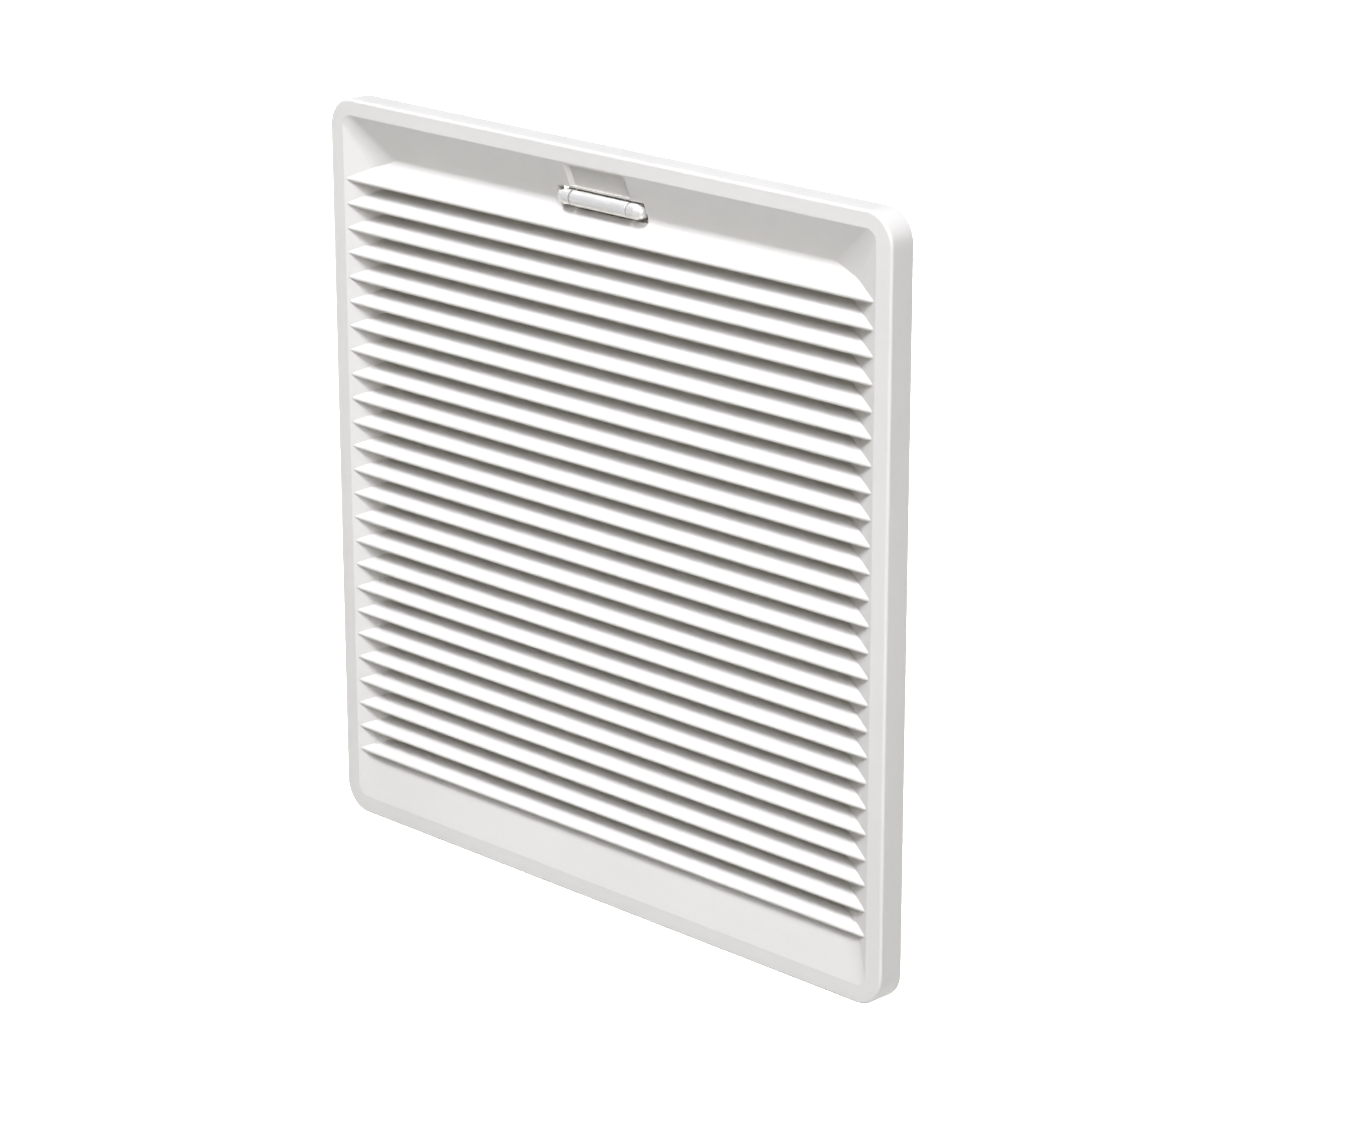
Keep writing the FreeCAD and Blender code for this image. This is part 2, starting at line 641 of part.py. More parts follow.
ci = ch - D["collar_wall"]
sk = new_sketch(base, "BaySketch", "XZ_Plane", D["flange_front"] + 1.0)
rounded(sk, -ci, ci, -ci, ci, D["collar_rad"] - D["collar_wall"])
pocket(base, "Bay", sk)

# partition above the mat, with a recess for the keeper
sk = new_sketch(base, "PartitionSketch", "XZ_Plane", D["flange_front"])
polygon(sk, [(-ci - 0.5, D["rib_low"]), (ci + 0.5, D["rib_low"]), (ci + 0.5, D["rib_high"]), (-ci - 0.5, D["rib_high"])])
pad(base, "Partition", sk, D["flange_front"] + D["grid_front"] - 0.2, back=True)
sk = new_sketch(base, "KeeperRecessSketch", "XZ_Plane", D["flange_front"] + 0.5)
kh = D["keeper_half"] + 0.4
polygon(sk, [(-kh, D["rib_low"] - 1.0), (kh, D["rib_low"] - 1.0), (kh, D["rib_high"] + 1.0), (-kh, D["rib_high"] + 1.0)])
pocket(base, "KeeperRecess", sk, 1.5)

# groove for the gasket in the flange's rear face
sk = new_sketch(base, "GrooveSketch", "XZ_Plane", D["flange_back"])
go, gi = D["groove_out"], D["groove_in"]
rounded(sk, -go, go, -go, go, 9.0)
rounded(sk, -gi, gi, -gi, gi, 7.0)
pocket(base, "Groove", sk, D["groove_floor"] - D["flange_back"], back=True)

# hinge lugs below the flange
lug_r = D["lug_rad"]
sk = new_sketch(base, "LugSketch", "YZ_Plane", D["hinge_x"] - D["hinge_lug_half"])
polygon(sk, [(-D["flange_front"], -D["flange_bottom"] + 0.5), (-D["flange_back"], -D["flange_bottom"] + 0.5),
             (-D["flange_back"], -(D["flange_bottom"] + 2.0)), (hy + lug_r, hz), (hy + lug_r * 0.7, hz - lug_r * 0.7),
             (hy, hz - lug_r), (hy - lug_r * 0.7, hz - lug_r * 0.7), (hy - lug_r, hz), (hy - lug_r * 0.85, hz + lug_r * 0.55)])
lug = pad(base, "Lug", sk, 2 * D["hinge_lug_half"])
mirror(base, "Lugs", [lug], "YZ_Plane")
sk = new_sketch(base, "LugBoreSketch", "YZ_Plane", D["hinge_x"] - D["hinge_lug_half"] - 0.5)
circle(sk, hy, hz, D["hinge_pin_rad"] + 0.02)
bore = pocket(base, "LugBore", sk, 2 * D["hinge_lug_half"] + 1.0, back=True)
mirror(base, "LugBores", [bore], "YZ_Plane")

# screw holes in the flange
sx, sz = D["screw_x"], D["screw_z"]
sk = new_sketch(base, "ScrewHoleSketch", "XZ_Plane", D["flange_front"])
for x_sign in (1, -1):
    for z_sign in (1, -1):
        circle(sk, sx if x_sign > 0 else -sx, sz if z_sign > 0 else -sz, D["screw_rad"])
pocket(base, "ScrewHoles", sk, D["flange_front"])

# clip windows and the cheeks that hold their pins, two in each wall of the collar
side_features = []
for number, centre in enumerate((D["clip_at"], -D["clip_at"])):
    for end, inner_end in enumerate((D["window_half"], -D["cheek_out"])):
        low = centre + inner_end
        sk = new_sketch(base, "CheekSketch%d%d" % (number, end), "XY_Plane", low)
        polygon(sk, [(141.4, 9.8), (ch - 0.3, 9.8), (ch - 0.3, 15.2), (141.4, 15.2)])
        side_features.append(pad(base, "Cheek%d%d" % (number, end), sk, D["cheek_out"] - D["window_half"]))
ring_of(base, "Cheeks", side_features, "Y_Axis", 4)
windows = []
for number, centre in enumerate((D["clip_at"], -D["clip_at"])):
    wh = D["window_half"]
    sk = new_sketch(base, "WindowSketch%d" % number, "XY_Plane", centre - wh)
    polygon(sk, [(140.0, 0.9), (ch + 1.0, 0.9), (ch + 1.0, 14.9), (140.0, 14.9)])
    windows.append(pocket(base, "Window%d" % number, sk, 2 * wh, back=True))
ring_of(base, "Windows", windows, "Y_Axis", 4)
bores = []
for number, centre in enumerate((D["clip_at"], -D["clip_at"])):
    sk = new_sketch(base, "ClipBoreSketch%d" % number, "XY_Plane", centre - D["cheek_out"] - 0.2)
    circle(sk, D["clip_x"], D["clip_y"], D["clip_pin_rad"] + 0.02)
    bores.append(pocket(base, "ClipBore%d" % number, sk, 2 * D["cheek_out"] + 0.4, back=True))
ring_of(base, "ClipBores", bores, "Y_Axis", 4)

# slots in the collar's walls for the guard grid's snap tabs, two in each wall
sk = new_sketch(base, "TabSlotSketch", "XZ_Plane", -(D["tab_front"] + D["tab_thick"] + D["tab_play"]))
for side in (1, -1):
    for middle_at in (D["tab_at"], -D["tab_at"]):
        low, high = middle_at - D["tab_half"] - D["tab_play"], middle_at + D["tab_half"] + D["tab_play"]
        near, far = side * (ci - 0.6), side * (ch + 0.6)
        polygon(sk, [(near, low), (far, low), (far, high), (near, high)])
        polygon(sk, [(low, near), (high, near), (high, far), (low, far)])
pocket(base, "TabSlots", sk, D["tab_thick"] + 2 * D["tab_play"], back=True)

# ================================================================ guard grid
# A flat frame with upright and cross bars, snapped into the collar behind the mat.

grid = new_body("guard_grid")
grid_y = -D["grid_front"]
grid_deep = D["grid_back"] - D["grid_front"]
gh = D["grid_half"]
gn = gh - D["grid_frame"]
sk = new_sketch(grid, "GridFrameSketch", "XZ_Plane", grid_y)
rounded(sk, -gh, gh, -gh, gh, 3.2)
rounded(sk, -gn, gn, -gn, gn, 1.0)
pad(grid, "GridFrame", sk, grid_deep, back=True)

# the frame steps in beside the cheeks of the clip windows
sk = new_sketch(grid, "GridNotchSketch", "XZ_Plane", grid_y + 0.5)
for side in (1, -1):
    for middle_at in (D["clip_at"], -D["clip_at"]):
        low, high = middle_at - D["cheek_out"] - 0.4, middle_at + D["cheek_out"] + 0.4
        near, far = side * 141.0, side * (gh + 0.5)
        polygon(sk, [(near, low), (far, low), (far, high), (near, high)])
        polygon(sk, [(low, near), (high, near), (high, far), (low, far)])
pocket(grid, "GridNotches", sk, grid_deep + 1.0)

sk = new_sketch(grid, "TabSketch", "XZ_Plane", -D["tab_front"])
for side in (1, -1):
    for middle_at in (D["tab_at"], -D["tab_at"]):
        low, high = middle_at - D["tab_half"], middle_at + D["tab_half"]
        near, far = side * (gh - 0.8), side * (ch - 0.4)
        polygon(sk, [(near, low), (far, low), (far, high), (near, high)])
        polygon(sk, [(low, near), (high, near), (high, far), (low, far)])
pad(grid, "Tabs", sk, D["tab_thick"], back=True)

span = D["grid_pitch"] * 7.0
bar = D["grid_bar"] * 0.5
sk = new_sketch(grid, "UprightSketch", "XZ_Plane", grid_y)
polygon(sk, [(-span - bar, -gn - 0.5), (-span + bar, -gn - 0.5), (-span + bar, gn + 0.5), (-span - bar, gn + 0.5)])
upright = pad(grid, "Upright", sk, grid_deep, back=True)
row_of(grid, "Uprights", upright, "X_Axis", D["grid_pitch"], D["grid_count"])
sk = new_sketch(grid, "CrossSketch", "XZ_Plane", grid_y)
polygon(sk, [(-gn - 0.5, -span - bar), (gn + 0.5, -span - bar), (gn + 0.5, -span + bar), (-gn - 0.5, -span + bar)])
cross = pad(grid, "Cross", sk, grid_deep, back=True)
row_of(grid, "Crosses", cross, "Z_Axis", D["grid_pitch"], D["grid_count"])

# ================================================================ latch

# finger bar: round front, flat back, an arm to the rear with a tooth at its end
bar_body = new_body("latch_bar")
by, bz, br = -D["bar_y"], D["bar_z"], D["bar_rad"]
sk = new_sketch(bar_body, "BarSketch", "YZ_Plane")
top_pt = (by.value, bz.value + br.value)
low_pt = (by.value, bz.value - br.value)
corners = [(top_pt[0], top_pt[1]), (-5.2, 142.4), (-4.0, 141.9), (-4.0, 138.2), (-4.9, 137.2), (low_pt[0], low_pt[1])]
for a, b in zip(corners[:-1], corners[1:]):
    sk.addGeometry(Part.LineSegment(Vector(a[0], a[1], 0), Vector(b[0], b[1], 0)), False)
sk.addGeometry(Part.ArcOfCircle(Part.Circle(Vector(by.value, bz.value, 0), Vector(0, 0, 1), br.value), math.pi / 2, 3 * math.pi / 2), False)
for i in range(4):
    sk.addConstraint(Part_constraint("Coincident", i, 2, i + 1, 1))
sk.addConstraint(Part_constraint("Coincident", 0, 1, 5, 1))
sk.addConstraint(Part_constraint("Coincident", 4, 2, 5, 2))
bind(sk, Part_constraint("Radius", 5, br.value), br.text)
place(sk, "X", 5, 3, by)
place(sk, "Y", 5, 3, bz)
place(sk, "X", 0, 1, by)
place(sk, "X", 4, 2, by)
for i in range(4):
    place(sk, "X", i, 2, corners[i + 1][0])
    place(sk, "Y", i, 2, corners[i + 1][1])
pad(bar_body, "Bar", sk, 2 * D["bar_half"], both=True)
sk = new_sketch(bar_body, "ArmSketch", "YZ_Plane")
polygon(sk, [(-5.0, 138.6), (-2.0, 138.6), (-2.0, 136.9), (-1.0, 136.9), (0.0, 138.3), (0.0, 139.4), (-3.0, 140.2), (-5.0, 140.4)])
pad(bar_body, "Arm", sk, 12.0, both=True)
sk = new_sketch(bar_body, "BarBoreSketch", "YZ_Plane")
circle(sk, -D["axle_y"], D["axle_z"], D["axle_rad"] + D["axle_fit"])
pocket(bar_body, "BarBore", sk, both=True)
# pocket in the bar's back for the spring
sk = new_sketch(bar_body, "SpringPocketSketch", "XZ_Plane", 7.95)
polygon(sk, [(-15.0, 135.0), (-9.0, 135.0), (-9.0, 141.95), (-15.0, 141.95)])
pocket(bar_body, "SpringPocket", sk, 6.0)
fillet(bar_body, "BarEnds", 0.35, lambda e: (at(e, x=16.0) or at(e, x=-16.0)) and e.BoundBox.YMin < by.value - 1.0)

axle = new_body("latch_axle")
sk = new_sketch(axle, "AxleSketch", "YZ_Plane")
circle(sk, -D["axle_y"], D["axle_z"], D["axle_rad"])
pad(axle, "Axle", sk, 2 * D["axle_half"], both=True)


def end_cap(label, side):
    """A cap beside the finger bar: the bar's section with a tapered outer end."""
    body = new_body(label)
    inner_x, outer_x = D["cap_inner"], D["cap_outer"]
    sketches = []
    for name, x, scale in (("A", inner_x, 1.0), ("B", outer_x - 3.4, 1.0), ("C", outer_x - 0.8, 0.72), ("D", outer_x, 0.45)):
        sketch = new_sketch(body, "Cap" + name, "YZ_Plane", x if side > 0 else -x)
        r = br * scale
        flat = -5.2 if scale == 1.0 else (-5.2 if scale > 0.6 else -5.3)
        yc, zc, rv = by.value, bz.value, r.value
        dy = flat - yc
        reach_z = math.sqrt(max(rv * rv - 0.0, 0.01))
        pts = [(yc, zc + reach_z), (flat, zc + reach_z), (flat, zc - reach_z), (yc, zc - reach_z)]
        for a, b in zip(pts[:-1], pts[1:]):
            sketch.addGeometry(Part.LineSegment(Vector(a[0], a[1], 0), Vector(b[0], b[1], 0)), False)
        sketch.addGeometry(Part.ArcOfCircle(Part.Circle(Vector(yc, zc, 0), Vector(0, 0, 1), rv), math.pi / 2, 3 * math.pi / 2), False)
        for i in range(2):
            sketch.addConstraint(Part_constraint("Coincident", i, 2, i + 1, 1))
        sketch.addConstraint(Part_constraint("Tangent", 3, 1, 0, 1))
        sketch.addConstraint(Part_constraint("Tangent", 2, 2, 3, 2))
        sketch.addConstraint(Part_constraint("Horizontal", 0))
        sketch.addConstraint(Part_constraint("Vertical", 1))
        bind(sketch, Part_constraint("Radius", 3, rv), r.text)
        place(sketch, "X", 3, 3, by)
        place(sketch, "Y", 3, 3, bz)
        place(sketch, "X", 1, 1, flat)
        sketches.append(sketch)
    loft("AdditiveLoft", body, "Cap", sketches)
    # eye for the axle, at the rear
    sketch = new_sketch(body, "EyeSketch", "YZ_Plane", inner_x if side > 0 else -inner_x)
    polygon(sketch, [(-6.6, 137.6), (-4.0, 137.6), (-4.0, 141.6), (-6.6, 141.6)])
    pad(body, "Eye", sketch, outer_x - inner_x - 3.4, back=side < 0)
    sketch = new_sketch(body, "EyeBoreSketch", "YZ_Plane")
    circle(sketch, -D["axle_y"], D["axle_z"], D["axle_rad"] + 0.02)
    pocket(body, "EyeBore", sketch, both=True)
    return body


end_cap("latch_cap_left", -1)
end_cap("latch_cap_right", 1)

# keeper: a folded strip of steel pushed over the partition's front edge, with a lip that stands up
keeper = new_body("latch_keeper")
sk = new_sketch(keeper, "KeeperSketch", "YZ_Plane")
rl, rh = D["rib_low"], D["rib_high"]
polygon(sk, [(-3.15, rl - 0.35), (6.0, rl - 0.35), (6.0, rl - 0.02), (-2.42, rl - 0.02), (-2.42, rh + 0.02), (6.0, rh + 0.02),
             (6.0, rh + 0.6), (-2.42, rh + 0.6), (-2.42, rh + 2.5), (-2.7, rh + 2.6), (-3.15, rh + 2.2)])
pad(keeper, "Keeper", sk, 2 * D["keeper_half"], both=True)


# ================================================================ springs


def coil(radius, wire, pitch, turns):
    """A round-wire coil about the Z axis, starting at z = 0."""
    helix = Part.makeHelix(pitch, pitch * turns, radius)
    section = Part.Wire(Part.Circle(Vector(radius, 0, 0), Vector(0, 1, 0), wire / 2).toShape())
    return Part.Wire(helix).makePipeShell([section], True, True)


spring = doc.addObject("Part::Feature", "latch_spring")
spring.Label = "latch_spring"
shape = coil(1.75, 0.5, 0.85, 5)
spring.Shape = shape
spring.Placement = Placement(Vector(-14.4, -D["axle_y"].value, D["axle_z"].value), Rotation(Vector(0, 1, 0), 90))

# ================================================================ hinge pins

for label, side in (("hinge_pin_left", -1), ("hinge_pin_right", 1)):
    pin = new_body(label)
    sk = new_sketch(pin, "PinSketch", "YZ_Plane")
    circle(sk, 0.0, 0.0, D["hinge_pin_rad"])
    pad(pin, "Pin", sk, 2 * D["hinge_ear_out"] - 0.2, both=True)
    pin.Placement = Placement(Vector(side * D["hinge_x"].value, hy.value, hz.value), Rotation())
    pin.setExpression("Placement.Base.x", (side * D["hinge_x"]).text)
    pin.setExpression("Placement.Base.y", hy.text)
    pin.setExpression("Placement.Base.z", hz.text)

# ================================================================ gasket and mat

gasket = new_body("panel_gasket")
sk = new_sketch(gasket, "GasketSketch", "XZ_Plane", D["groove_floor"])
a, b = go - 0.2, gi + 0.2
rounded(sk, -a, a, -a, a, 8.8)
rounded(sk, -b, b, -b, b, 7.2)
pad(gasket, "Gasket", sk, D["groove_floor"], back=True)

mat = new_body("filter_mat")
mh = D["mat_half"]
sk = new_sketch(mat, "MatSketch", "XZ_Plane", D["mat_front"])
rounded(sk, -mh, mh, -mh, D["mat_top"], D["mat_rad"])
pad(mat, "Mat", sk, D["mat_front"] + D["mat_back"], back=True)

# ================================================================ panel clips
# Eight sprung pawls. Each hangs on a pin in a window of the collar; its nose stands out behind the panel.

CLIPS = []
for wall, turn in (("right", 0), ("top", -90), ("left", 180), ("bottom", 90)):
    for name, offset in (("a", 1), ("b", -1)):
        CLIPS.append(("panel_clip_%s_%s" % (wall, name), turn, offset))

for label, turn, side in CLIPS:
    clip = new_body(label)
    cx, cy = D["clip_x"], D["clip_y"]
    sk = new_sketch(clip, "LeverSketch", "XY_Plane")
    polygon(sk, [(1.3, 0.9), (5.4, -7.9), (5.4, -9.3), (4.7, -9.9), (3.4, -9.9), (-1.0, -0.9)])
    pad(clip, "Lever", sk, 2 * D["clip_half"], both=True)
    sk = new_sketch(clip, "BarrelSketch", "XY_Plane")
    circle(sk, 0.0, 0.0, D["clip_barrel_rad"])
    pad(clip, "Barrel", sk, 2 * D["clip_half"], both=True)
    sk = new_sketch(clip, "PinHoleSketch", "XY_Plane")
    circle(sk, 0.0, 0.0, D["clip_pin_rad"] + D["axle_fit"])
    pocket(clip, "PinHole", sk, both=True)
    sk = new_sketch(clip, "SpringGapSketch", "XY_Plane", 3.0)
    circle(sk, 0.0, 0.0, 2.0)
    pocket(clip, "SpringGap", sk, 5.0, back=True)
    spin = Rotation(Vector(0, 1, 0), turn)
    clip.Placement = Placement(spin.multVec(Vector(cx.value, cy.value, side * D["clip_at"].value)), spin)

pins, coils = [], []
for label, turn, side in CLIPS:
    spin = Rotation(Vector(0, 1, 0), turn)
    centre = spin.multVec(Vector(D["clip_x"].value, D["clip_y"].value, side * D["clip_at"].value))
    pin = doc.addObject("Part::Cylinder", "ClipPin_" + label)
    length = 2 * D["cheek_out"] - 0.6
    pin.Radius = D["clip_pin_rad"].value
    pin.setExpression("Radius", D["clip_pin_rad"].text)
    pin.Height = length.value
    pin.setExpression("Height", length.text)
    pin.Placement = Placement(centre + spin.multVec(Vector(0, 0, -length.value / 2)), spin)
    pins.append(pin)
    wound = coil(1.3, 0.4, 0.6, 5)
    wound.Placement = Placement(centre + spin.multVec(Vector(0, 0, 3.5)), spin)
    coils.append(wound)
pin_group = doc.addObject("Part::Compound", "clip_pins")
pin_group.Label = "clip_pins"
pin_group.Links = pins
coil_group = doc.addObject("Part::Feature", "clip_springs")
coil_group.Label = "clip_springs"
coil_group.Shape = Part.Compound(coils)

# ================================================================ check and write

doc.recompute()
for item in doc.Objects:
    if "Invalid" in item.State or "Error" in item.State:
        raise RuntimeError("%s failed: %s" % (item.Label, item.State))

NODES = (["front_cover", "base_frame", "guard_grid", "latch_bar", "latch_axle", "latch_cap_left", "latch_cap_right", "latch_spring",
          "latch_keeper", "hinge_pin_left", "hinge_pin_right", "panel_gasket", "filter_mat"]
         + [label for label, _, _ in CLIPS] + ["clip_pins", "clip_springs"])

os.makedirs("parts", exist_ok=True)
for node in NODES:
    item = doc.getObjectsByLabel(node)[0]
    shape = item.Shape
    if shape.isNull() or not shape.isValid():
        raise RuntimeError("%s has no valid shape" % node)
    expected = 8 if node in ("clip_pins", "clip_springs") else 1
    if len(shape.Solids) != expected:
        raise RuntimeError("%s has %d solids" % (node, len(shape.Solids)))
    shape.exportStep("parts/%s.step" % node)
    box = shape.BoundBox
    print("%-22s %9.1f mm3  x %.1f..%.1f  y %.1f..%.1f  z %.1f..%.1f"
          % (node, shape.Volume, box.XMin, box.XMax, box.YMin, box.YMax, box.ZMin, box.ZMax))
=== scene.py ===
import math
import random

import bpy
import bmesh
import numpy as np
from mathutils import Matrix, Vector, noise


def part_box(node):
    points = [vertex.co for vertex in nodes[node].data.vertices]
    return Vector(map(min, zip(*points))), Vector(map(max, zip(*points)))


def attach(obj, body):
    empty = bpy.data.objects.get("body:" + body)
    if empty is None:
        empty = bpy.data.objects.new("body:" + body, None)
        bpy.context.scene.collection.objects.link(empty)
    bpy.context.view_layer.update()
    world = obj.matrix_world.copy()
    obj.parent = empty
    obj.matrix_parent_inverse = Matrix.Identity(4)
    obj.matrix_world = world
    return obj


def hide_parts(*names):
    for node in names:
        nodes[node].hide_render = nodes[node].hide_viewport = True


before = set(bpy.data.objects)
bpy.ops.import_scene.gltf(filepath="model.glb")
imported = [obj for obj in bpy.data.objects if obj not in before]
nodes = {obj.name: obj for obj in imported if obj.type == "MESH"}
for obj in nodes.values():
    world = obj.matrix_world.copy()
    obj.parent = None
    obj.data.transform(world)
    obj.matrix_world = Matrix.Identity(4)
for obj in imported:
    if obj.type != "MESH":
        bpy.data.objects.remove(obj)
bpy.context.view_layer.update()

# ---------------------------------------------------------------- material helpers


class Mat:
    """A node-based material with short calls for the parts that repeat."""

    def __init__(self, name):
        self.mat = bpy.data.materials.new(name)
        self.mat.use_nodes = True
        self.tree = self.mat.node_tree
        self.tree.nodes.clear()
        self.out = self.add("ShaderNodeOutputMaterial")
        self.bsdf = self.add("ShaderNodeBsdfPrincipled")
        self.link(self.bsdf.outputs["BSDF"], self.out.inputs["Surface"])
        self.coord = self.add("ShaderNodeTexCoord").outputs["Object"]

    def add(self, kind, **values):
        node = self.tree.nodes.new(kind)
        for key, value in values.items():
            setattr(node, key, value)
        return node

    def link(self, a, b):
        self.tree.links.new(a, b)

    def set(self, **values):
        for key, value in values.items():
            self.bsdf.inputs[key.replace("_", " ")].default_value = value

    def stretched(self, scale=(1, 1, 1), turn=(0, 0, 0)):
        m = self.add("ShaderNodeMapping")
        m.inputs["Scale"].default_value = scale
        m.inputs["Rotation"].default_value = turn
        self.link(self.coord, m.inputs["Vector"])
        return m.outputs["Vector"]

    def noise(self, scale, detail=4.0, rough=0.55, vector=None, distortion=0.0):
        n = self.add("ShaderNodeTexNoise")
        n.inputs["Scale"].default_value = scale
        n.inputs["Detail"].default_value = detail
        n.inputs["Roughness"].default_value = rough
        n.inputs["Distortion"].default_value = distortion
        self.link(vector or self.coord, n.inputs["Vector"])
        return n.outputs["Fac"]

    def ramp(self, fac, stops):
        r = self.add("ShaderNodeValToRGB")
        while len(r.color_ramp.elements) < len(stops):
            r.color_ramp.elements.new(0.5)
        for element, (pos, col) in zip(r.color_ramp.elements, stops):
            element.position = pos
            element.color = col if len(col) == 4 else (*col, 1)
        self.link(fac, r.inputs["Fac"])
        return r.outputs["Color"]

    def span(self, fac, low, high, a=0.0, b=1.0):
        m = self.add("ShaderNodeMapRange")
        m.inputs["From Min"].default_value = a
        m.inputs["From Max"].default_value = b
        m.inputs["To Min"].default_value = low
        m.inputs["To Max"].default_value = high
        self.link(fac, m.inputs["Value"])
        return m.outputs["Result"]

    def maths(self, op, a, b=None):
        m = self.add("ShaderNodeMath", operation=op)
        for socket, value in zip(m.inputs, (a, b)):
            if value is None:
                continue
            if isinstance(value, bpy.types.NodeSocket):
                self.link(value, socket)
            else:
                socket.default_value = value
        return m.outputs[0]

    def bump(self, height, strength, distance, after=None):
        b = self.add("ShaderNodeBump")
        b.inputs["Strength"].default_value = strength
        b.inputs["Distance"].default_value = distance
        self.link(height, b.inputs["Height"])
        if after is not None:
            self.link(after, b.inputs["Normal"])
        return b.outputs["Normal"]

    def finish(self, colour=None, rough=None, normal=None):
        if colour is not None:
            self.link(colour, self.bsdf.inputs["Base Color"])
        if rough is not None:
            self.link(rough, self.bsdf.inputs["Roughness"])
        if normal is not None:
            self.link(normal, self.bsdf.inputs["Normal"])
        return self.mat


def moulded(name, light, dark, rough=(0.42, 0.56), grain=900.0, grain_depth=0.00003):
    """Satin moulded plastic: faint cloudy tone, fine spark-eroded grain, slow waviness of the flat faces."""
    m = Mat(name)
    cloud = m.noise(9.0, 3.0, 0.5)
    fleck = m.noise(420.0, 3.0, 0.6)
    tone = m.ramp(m.maths("ADD", m.maths("MULTIPLY", cloud, 0.75), m.maths("MULTIPLY", fleck, 0.25)),
                  [(0.34, dark), (0.62, light)])
    sheen = m.span(m.noise(60.0, 4.0, 0.6), rough[0], rough[1], 0.3, 0.7)
    wave = m.bump(m.noise(14.0, 2.0, 0.4), 0.25, 0.0002)
    fine = m.bump(m.noise(grain, 3.0, 0.65), 0.35, grain_depth, after=wave)
    m.set(IOR=1.5)
    return m.finish(tone, sheen, fine)


def metal(name, light, dark, rough, scratch=(40.0, 900.0, 900.0), depth=0.000012, metallic=1.0):
    """Drawn or plated metal: fine lines along the piece, cloudy gloss."""
    m = Mat(name)
    m.set(Metallic=metallic)
    lines = m.noise(1.0, 3.0, 0.6, m.stretched(scratch))
    tone = m.ramp(m.noise(120.0, 4.0, 0.6), [(0.3, dark), (0.7, light)])
    gloss = m.span(m.maths("ADD", m.maths("MULTIPLY", lines, 0.5), m.maths("MULTIPLY", m.noise(35.0, 3.0, 0.5), 0.5)),
                   rough[0], rough[1], 0.35, 0.65)
    return m.finish(tone, gloss, m.bump(lines, 0.3, depth))


def fibres(name):
    """Needled white fibre: short threads lying every way, with deeper gaps between them, and painted shade that
    darkens the colour in those gaps.
    """
    m = Mat(name)
    layers = []
    for turn, scale in (((0.0, 0.35, 0.0), (150, 700, 1900)), ((0.0, 1.25, 0.0), (170, 700, 1700)),
                        ((0.0, 2.2, 0.0), (140, 700, 2000)), ((0.0, 2.85, 0.0), (190, 700, 1600))):
        layers.append(m.noise(1.0, 2.0, 0.55, m.stretched(scale, turn), distortion=0.8))
    strands = m.maths("MAXIMUM", m.maths("MAXIMUM", layers[0], layers[1]), m.maths("MAXIMUM", layers[2], layers[3]))
    loft = m.noise(230.0, 4.0, 0.6)
    height = m.maths("ADD", m.maths("MULTIPLY", strands, 0.7), m.maths("MULTIPLY", loft, 0.4))
    # painted shade: the colour goes dark where the height is low, in the gaps between the strands; the lighter tones
    # vary at random among the strands
    tone = m.ramp(height, [(0.48, (0.34, 0.335, 0.31)), (0.62, (0.66, 0.65, 0.605)), (0.78, (0.82, 0.81, 0.765))])
    m.set(Roughness=0.95, Sheen_Weight=0.4, Sheen_Roughness=0.5)
    return m.finish(tone, None, m.bump(height, 0.9, 0.0009))


def foam(name):
    """Closed-cell foam: dark, with small cells."""
    m = Mat(name)
    cells = m.add("ShaderNodeTexVoronoi")
    cells.inputs["Scale"].default_value = 1500.0
    m.link(m.coord, cells.inputs["Vector"])
    tone = m.ramp(m.noise(180.0, 5.0, 0.6), [(0.3, (0.016, 0.016, 0.017)), (0.7, (0.035, 0.035, 0.037))])
    m.set(Roughness=0.88)
    return m.finish(tone, None, m.bump(cells.outputs["Distance"], 0.6, 0.0003))


WHITE = moulded("cover_moulding", (0.69, 0.665, 0.605), (0.665, 0.64, 0.58))
FRAME = moulded("frame_moulding", (0.60, 0.59, 0.555), (0.56, 0.55, 0.515), rough=(0.5, 0.62), grain=700.0)
CLIP = moulded("clip_moulding", (0.50, 0.49, 0.46), (0.45, 0.44, 0.415), rough=(0.38, 0.5), grain=1200.0)
BRIGHT = metal("bright_plating", (0.87, 0.85, 0.785), (0.82, 0.80, 0.74), (0.18, 0.30), metallic=0.45)
STEEL = metal("zinc_steel", (0.66, 0.655, 0.64), (0.54, 0.535, 0.52), (0.26, 0.42), depth=0.00003)
SPRING = metal("spring_wire", (0.50, 0.50, 0.51), (0.38, 0.38, 0.39), (0.24, 0.4), scratch=(600.0, 600.0, 600.0))
FIBRE = fibres("needled_fibre")
FOAM = foam("seal_foam")

FINISH = {"front_cover": WHITE, "base_frame": FRAME, "guard_grid": FRAME, "latch_bar": BRIGHT, "latch_cap_left": BRIGHT, "latch_cap_right": BRIGHT,
          "latch_axle": STEEL, "latch_keeper": STEEL, "latch_spring": SPRING, "hinge_pin_left": STEEL, "hinge_pin_right": STEEL,
          "clip_pins": STEEL, "clip_springs": SPRING}
for name, obj in nodes.items():
    if name in ("filter_mat", "panel_gasket"):
        continue
    material = CLIP if name.startswith("panel_clip") else FINISH[name]
    for index in range(len(obj.material_slots)):
        obj.material_slots[index].link = "OBJECT"
        obj.material_slots[index].material = material

# ---------------------------------------------------------------- filter mat


def add_piece(name, verts, faces, material, smooth=True):
    mesh = bpy.data.meshes.new(name)
    mesh.from_pydata([tuple(v) for v in verts], [], faces)
    mesh.materials.append(material)
    for poly in mesh.polygons:
        poly.use_smooth = smooth
    bm = bmesh.new()
    bm.from_mesh(mesh)
    bmesh.ops.remove_doubles(bm, verts=bm.verts, dist=1e-6)
    bmesh.ops.recalc_face_normals(bm, faces=bm.faces)
    bm.to_mesh(mesh)
    bm.free()
    obj = bpy.data.objects.new(name, mesh)
    bpy.context.scene.collection.objects.link(obj)
    return obj


